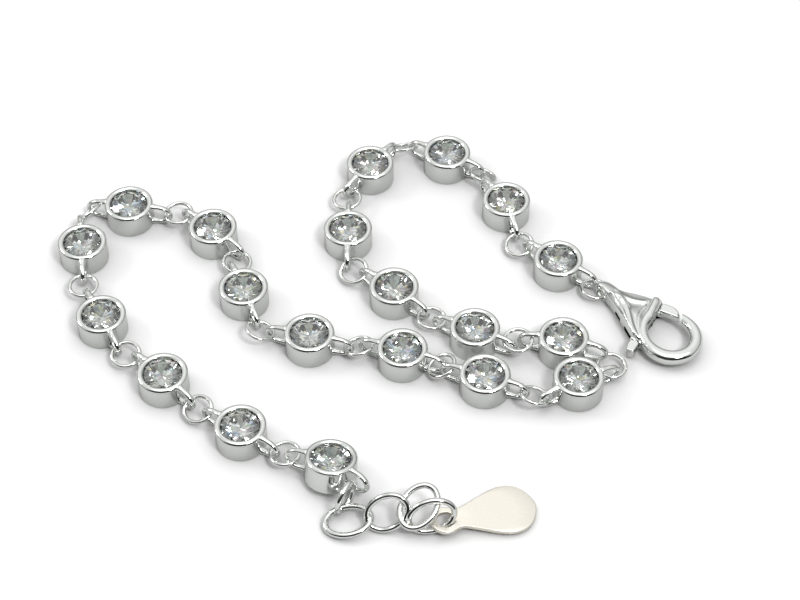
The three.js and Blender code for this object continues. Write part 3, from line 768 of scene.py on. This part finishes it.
# The body's top is a grid along and across it, and its crown is the height at each point.
BODY_HEIGHT = 1.5
BODY_START, BODY_END = SIDES[0, 0], SIDES[-1, 0]
along_body = np.linspace(BODY_START, BODY_END, 140)
right_edge = np.interp(along_body, SIDES[:, 0], SIDES[:, 1])
left_edge = np.interp(along_body, SIDES[:, 0], SIDES[:, 2])
share = np.linspace(0, 1, 90)
across = right_edge[:, None] + (left_edge - right_edge)[:, None] * share
ground = np.stack([np.broadcast_to(along_body[:, None], across.shape), across], -1)
back_line = np.interp(along_body, RIB_BACK[:, 0], RIB_BACK[:, 1])[:, None]
behind_rib = np.clip(across - back_line, 0, None) * (along_body[:, None] < 3.3)
crown = BODY_HEIGHT - 0.1 * np.clip((along_body[:, None] - 3.2) / 3.4, 0, 1) - 0.22 * behind_rib
# Each rib, and then the groove: its line, its reach to each side and how far it rises.
for line, rib_reach, rib_rise in (
        (RIB_SPINE, 0.15, 0.14), (RIB_MIDDLE, 0.2, 0.15), (RIB_BACK, 0.26, 0.07),
        (RIB_SHOULDER, 0.19, 0.13), (GROOVE, 0.07, -0.1)):
    crown = crown + rib_rise * nearness(ground, line, rib_reach)
# The panel between the ribs is dished: deepest 0.4 mm in front of the back rib, and level again at
# 1.65 mm. That rib runs slantwise, so the way to it is shorter than straight across.
SLANT = 0.82
before_rib = (back_line - across) * SLANT
dish = np.clip(before_rib / 0.4, 0, 1) * np.clip((1.65 - before_rib) / 1.2, 0, 1)
dish = dish * dish * (3 - 2 * dish) * np.clip((along_body[:, None] - 1.3) / 0.9, 0, 1)
dish = dish * (1 - nearness(ground, RIB_MIDDLE, 0.3)) * (1 - nearness(ground, RIB_SHOULDER, 0.3))
crown = crown - 0.1 * dish
# Towards the back rib the panel falls away.
crown = crown - 0.17 * np.clip(np.minimum(across, back_line) - 0.1, 0, None)
crown = crown - 0.3 * nearness(ground, NOTCH, 0.13)
# Its sides and its two ends are rounded over by quarter circles.
SIDE_ROUND = 0.26
END_ROUND = 0.35
to_side = np.minimum(across - right_edge[:, None], left_edge[:, None] - across)
to_end = np.minimum(along_body - BODY_START, BODY_END - along_body)[:, None]
for radius, distance in ((SIDE_ROUND, to_side), (END_ROUND, to_end)):
    crown = crown - (radius - np.sqrt(radius ** 2 - np.clip(radius - distance, 0, radius) ** 2))
# Its walls swell a little on the way down and draw in at the foot.
FOOT_HEIGHT = 0.02
SWELL = 0.03
DRAWN_IN = 0.12
down = np.linspace(0, 1, 11)[1:][None, :]
swelling = SWELL * np.sin(np.pi * down)
drawn_in = DRAWN_IN * down ** 4
left_wall_height = crown[:, -1:] * (1 - down) + FOOT_HEIGHT * down
left_wall_across = left_edge[:, None] + swelling - drawn_in
right_wall_height = (crown[:, :1] * (1 - down) + FOOT_HEIGHT * down)[:, ::-1]
right_wall_across = (right_edge[:, None] - swelling + drawn_in)[:, ::-1]
loop_across = np.concatenate([across, left_wall_across, right_wall_across], axis=1)
loop_height = np.concatenate([crown, left_wall_height, right_wall_height], axis=1)
loop_along = np.broadcast_to(along_body[:, None], loop_across.shape)
body_grid = np.stack([loop_along, loop_across, loop_height], -1)
clasp = piece("clasp_casting", in_clasp(body_grid.reshape(-1, 3)), capped(*loop_across.shape))
# Two narrow windows in the right wall, over the lever's spring and beside its arm.
SPRING_WINDOW = ([(2.15, -1.2), (3.05, -1.4), (3.05, 0.4), (2.15, 0.4)], 0.54, 0.9)
ARM_WINDOW = ([(3.85, -1.9), (4.75, -2.0), (4.75, -1.0), (3.85, -0.8)], 0.58, 0.86)
for opening in (GATE_SLOT, TAB_SLOT, SPRING_WINDOW, ARM_WINDOW):
    cut_away(clasp, *opening)
clasp.data.materials.append(silver)
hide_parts("clasp_body")
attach(clasp, "bracelet")

# ---- Clasp tail eye and pin ----------------------------------------------------------------------
# A flat strap cast in one with the tail, bent up and over into an upright eye for the last jump ring, and
# the hard silver pin that the lever turns on, riveted flush with the body.

STRAP_WALL = 0.36
# Its middle line seen from the side: along the clasp, and up.
strap_line = smooth_path(
    [(0.75, 0.2), (0.2, 0.19), (-0.45, 0.22), (-0.83, 0.45), (-0.93, 0.85), (-0.86, 1.2), (-0.5, 1.42),
     (0.1, 1.46), (0.7, 1.36), (1.2, 1.1)], 70)
ahead = np.gradient(strap_line, axis=0)
ahead /= np.linalg.norm(ahead, axis=1, keepdims=True)
outer_side = np.column_stack([-ahead[:, 1], ahead[:, 0]])
strap_round = np.linspace(0, 2 * np.pi, 28, endpoint=False)
strap_wide = np.cos(strap_round)
strap_thick = np.sign(np.sin(strap_round)) * np.abs(np.sin(strap_round)) ** 0.75
# Along the clasp: half the strap's width, and how far its middle lies to the left.
STRAP_ALONG = [-0.95, -0.65, 0, 0.75]
strap_half = np.interp(strap_line[:, 0], STRAP_ALONG, [0.34, 0.47, 0.56, 0.6])
strap_middle = np.interp(strap_line[:, 0], STRAP_ALONG, [-0.08, -0.05, 0.06, 0.2])
# The eye's left edge lies lower than its right edge.
strap_lean = 0.16 * np.clip((strap_line[:, 1] - 0.85) / 0.5, 0, 1)
strap_grid = np.stack([
    strap_line[:, None, 0] + outer_side[:, None, 0] * strap_thick * STRAP_WALL / 2,
    strap_middle[:, None] + strap_half[:, None] * strap_wide,
    strap_line[:, None, 1] + outer_side[:, None, 1] * strap_thick * STRAP_WALL / 2
    - strap_lean[:, None] * strap_wide], -1)
strap = piece("clasp_tail_eye", in_clasp(strap_grid.reshape(-1, 3)),
              capped(len(strap_line), len(strap_round)))
strap.data.materials.append(silver)
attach(strap, "bracelet")

PIVOT = np.array([4.2, 0.3])
PIN_RADIUS = 0.3
PIN_LOW = 0.34
PIN_HIGH = 1.36
circle = np.stack([np.cos(around), np.sin(around)], axis=1)
pin_points, pin_faces = slab(PIVOT + PIN_RADIUS * circle, PIN_LOW, PIN_HIGH, 0)
pin = piece("clasp_pin", in_clasp(pin_points), pin_faces)
pin.data.set_sharp_from_angle(angle=CREASE)
pin.data.materials.append(silver)
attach(pin, "bracelet")

# ---- Clasp lever ---------------------------------------------------------------------------------
# One silver casting on the pin: a boss, an arm out to the gate that closes the mouth, and an arm to the
# thumb tab at the other side. A light spring inside the body holds the gate shut.

BOSS_RADIUS = 0.62
boss = PIVOT + BOSS_RADIUS * circle
gate_arm = rounded([(3.85, 0.35), (4.7, 0.3), (4.6, 1.2), (4.45, 1.95), (4.78, 2.35), (4.3, 2.55),
                    (4.0, 1.9)], [0.05] * 7)
gate = smooth_path([(4.02, 2.75), (4.28, 2.32), (4.6, 2.1), (5.2, 2.42), (5.98, 2.86), (6.0, 2.98),
                    (5.58, 3.28), (4.95, 3.33), (4.38, 3.08)], 70, closed=True)
tab_arm = rounded([(3.95, 0.05), (4.5, 0.55), (6.05, -1.75), (5.5, -2.0)], [0.05] * 4)
tab_foot = rounded([(5.58, -1.86), (6.2, -1.56), (6.6, -2.2), (6.36, -2.68), (5.8, -2.45)], [0.2] * 5)
tab_top = rounded([(5.56, -1.8), (6.24, -1.5), (6.72, -2.48), (6.2, -2.82), (5.75, -2.35)], [0.22] * 5)
# Outline, bottom, top, radius of the edge, and the upper outline where it differs.
LEVER_PARTS = (
    ("lever_boss", boss, 0.5, 1.2, 0.05, None),
    ("lever_gate_arm", gate_arm, 0.52, 1.18, 0.04, None),
    ("lever_tab_arm", tab_arm, 0.56, 0.9, 0.04, None),
    ("lever_gate", gate, 0.78, 1.45, 0.14, None),
    ("lever_tab", tab_foot, 0.3, 1.42, 0.08, tab_top),
)
for name, outline, low, high, edge, top in LEVER_PARTS:
    part_points, part_faces = slab(outline, low, high, edge, top=top)
    part = piece(name, in_clasp(part_points), part_faces)
    part.data.set_sharp_from_angle(angle=CREASE)
    part.data.materials.append(silver)
    if name == "lever_gate":
        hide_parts("clasp_lever")
    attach(part, "clasp_lever")
